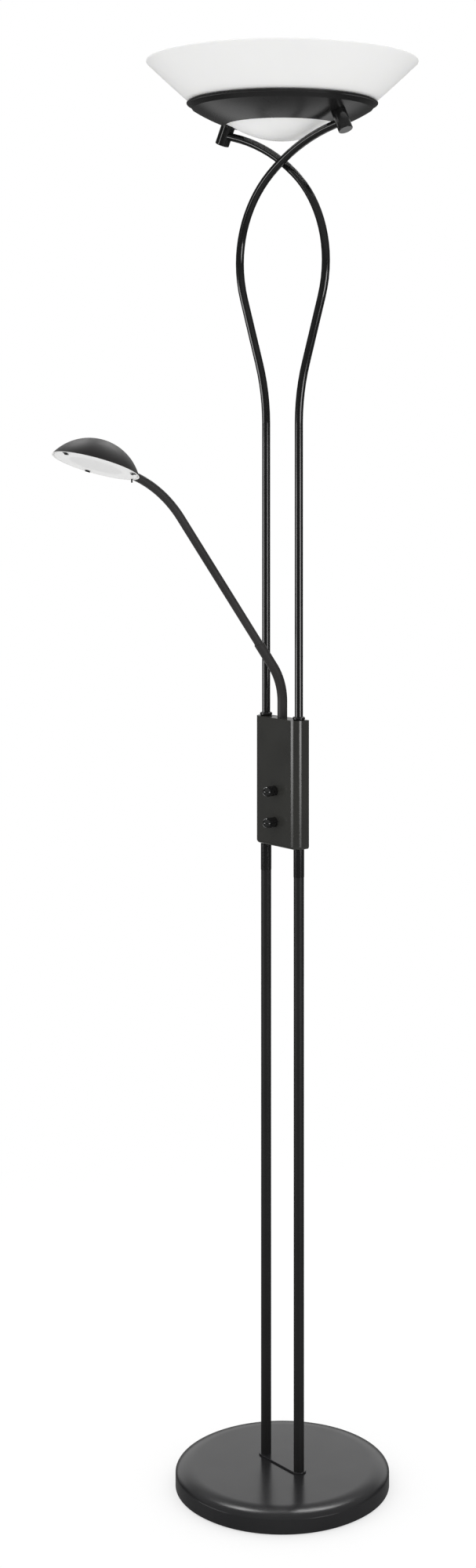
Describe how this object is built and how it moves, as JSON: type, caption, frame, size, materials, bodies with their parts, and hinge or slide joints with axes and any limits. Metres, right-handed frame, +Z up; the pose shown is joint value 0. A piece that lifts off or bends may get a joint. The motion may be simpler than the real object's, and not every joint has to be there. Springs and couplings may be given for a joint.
{
  "type": "torchiere floor lamp with reading light",
  "caption": "Floor lamp on a round weighted base: slim poles bend, cross and carry a glass uplighter bowl; a reading light stands on a flexible neck above a box with dimmer knobs.",
  "frame": {"origin": "centre of the round base, on the floor under its pad", "axes": "+Z up along the poles, +X from the left pole to the right pole, -Y the side of the knobs and the reading light"},
  "size_m": [0.3442, 0.5113, 1.8003],
  "materials": {
    "satin_black_steel": "satin black paint",
    "gloss_black_steel": "gloss black paint",
    "cast_weight": "raw casting",
    "zinc_steel": "zinc plated",
    "black_rubber": "matte",
    "opal_glass": "opal, satin",
    "frosted_glass": "frosted",
    "lamp_glass": "clear",
    "white_reflector": "white painted",
    "ceramic": "unglazed",
    "plastic_black": "matte",
    "knob_black": "gloss",
    "board_green": "solder mask",
    "brass_thread": "turned"
  },
  "bodies": {
    "root": {"arm_clamp": "plastic_black", "arm_ferrule": "satin_black_steel", "arm_tube": "satin_black_steel", "base_cover": "satin_black_steel", "base_pad": "black_rubber", "base_plate": "zinc_steel", "base_screws": "zinc_steel", "base_weight": "cast_weight", "bowl_glass": "opal_glass", "box_back": "satin_black_steel", "box_front": "satin_black_steel", "box_screws": "zinc_steel", "clamp_screw": "zinc_steel", "cord_inlet": "black_rubber", "dimmer_board": "board_green", "dimmer_lower": "plastic_black", "dimmer_nuts": "zinc_steel", "dimmer_upper": "plastic_black", "fitting_left": "gloss_black_steel", "fitting_nipples": "brass_thread", "fitting_right": "gloss_black_steel", "lamp_bridge": "zinc_steel", "lampholders": "ceramic", "linear_lamp": "lamp_glass", "lower_pole_left": "gloss_black_steel", "lower_pole_right": "gloss_black_steel", "nipple_nuts": "zinc_steel", "pole_collars": "gloss_black_steel", "pole_foot_plate": "satin_black_steel", "pole_sleeve_left": "gloss_black_steel", "pole_sleeve_right": "gloss_black_steel", "pole_studs": "zinc_steel", "rubber_rings": "black_rubber", "saucer": "satin_black_steel", "stud_nuts": "zinc_steel", "terminal_block": "plastic_black", "upper_pole_left": "gloss_black_steel", "upper_pole_right": "gloss_black_steel"},
    "upper_knob": {"knob_upper": "knob_black", "knob_shaft_upper": "zinc_steel"},
    "lower_knob": {"knob_lower": "knob_black", "knob_shaft_lower": "zinc_steel"},
    "neck_link_1": {"neck_link_1": "satin_black_steel"},
    "neck_link_2": {"neck_link_2": "satin_black_steel"},
    "neck_link_3": {"neck_link_3": "satin_black_steel"},
    "neck_link_4": {"neck_link_4": "satin_black_steel"},
    "neck_link_5": {"neck_link_5": "satin_black_steel"},
    "neck_link_6": {"neck_link_6": "satin_black_steel"},
    "neck_link_7": {"neck_link_7": "satin_black_steel"},
    "neck_link_8": {"neck_link_8": "satin_black_steel"},
    "head": {"head_socket": "satin_black_steel", "head_dome": "satin_black_steel", "head_reflector": "white_reflector", "head_lens": "frosted_glass", "head_clips": "satin_black_steel", "head_bracket": "zinc_steel", "head_nuts": "zinc_steel", "head_lampholder": "ceramic", "head_lamp": "lamp_glass", "head_screws": "zinc_steel"}
  },
  "joints": [
    {"name": "gooseneck_bend", "type": "hinge", "parent": "root", "child": "neck_link_1", "pos_m": [0, -0.04527, 1.07445], "axis": [1, 0, 0], "range_deg": [-12, 18]},
    {"name": "gooseneck_sway", "type": "hinge", "parent": "neck_link_1", "child": "neck_link_2", "pos_m": [0, -0.06465, 1.09971], "axis": [0, 0.7934, 0.6088], "range_deg": [-18, 18]},
    {"name": "gooseneck_bend_2", "type": "hinge", "parent": "neck_link_2", "child": "neck_link_3", "pos_m": [0, -0.08403, 1.12496], "axis": [1, 0, 0], "range_deg": [-12, 18]},
    {"name": "gooseneck_sway_2", "type": "hinge", "parent": "neck_link_3", "child": "neck_link_4", "pos_m": [0, -0.1034, 1.15022], "axis": [0, 0.7934, 0.6088], "range_deg": [-18, 18]},
    {"name": "gooseneck_bend_3", "type": "hinge", "parent": "neck_link_4", "child": "neck_link_5", "pos_m": [0, -0.12278, 1.17547], "axis": [1, 0, 0], "range_deg": [-12, 18]},
    {"name": "gooseneck_sway_3", "type": "hinge", "parent": "neck_link_5", "child": "neck_link_6", "pos_m": [0, -0.14216, 1.20073], "axis": [0, 0.7934, 0.6088], "range_deg": [-18, 18]},
    {"name": "gooseneck_bend_4", "type": "hinge", "parent": "neck_link_6", "child": "neck_link_7", "pos_m": [0, -0.16154, 1.22598], "axis": [1, 0, 0], "range_deg": [-12, 18]},
    {"name": "gooseneck_sway_4", "type": "hinge", "parent": "neck_link_7", "child": "neck_link_8", "pos_m": [0, -0.18295, 1.24884], "axis": [0, 0.6596, 0.7516], "range_deg": [-18, 18]},
    {"name": "gooseneck_bend_5", "type": "hinge", "parent": "neck_link_8", "child": "head", "pos_m": [0, -0.2084, 1.2671], "axis": [1, 0, 0], "range_deg": [-12, 18]},
    {"name": "upper_knob_turn", "type": "hinge", "parent": "root", "child": "upper_knob", "pos_m": [0, -0.0241, 0.8785], "axis": [0, 1, 0], "range_deg": [0, 300]},
    {"name": "lower_knob_turn", "type": "hinge", "parent": "root", "child": "lower_knob", "pos_m": [0, -0.0241, 0.839], "axis": [0, 1, 0], "range_deg": [0, 300]}
  ],
  "couplings": [
    {"joint": "gooseneck_bend_2", "follows": "gooseneck_bend", "ratio": 1},
    {"joint": "gooseneck_sway_2", "follows": "gooseneck_sway", "ratio": 1},
    {"joint": "gooseneck_bend_3", "follows": "gooseneck_bend", "ratio": 1},
    {"joint": "gooseneck_sway_3", "follows": "gooseneck_sway", "ratio": 1},
    {"joint": "gooseneck_bend_4", "follows": "gooseneck_bend", "ratio": 1},
    {"joint": "gooseneck_sway_4", "follows": "gooseneck_sway", "ratio": 1},
    {"joint": "gooseneck_bend_5", "follows": "gooseneck_bend", "ratio": 1}
  ]
}
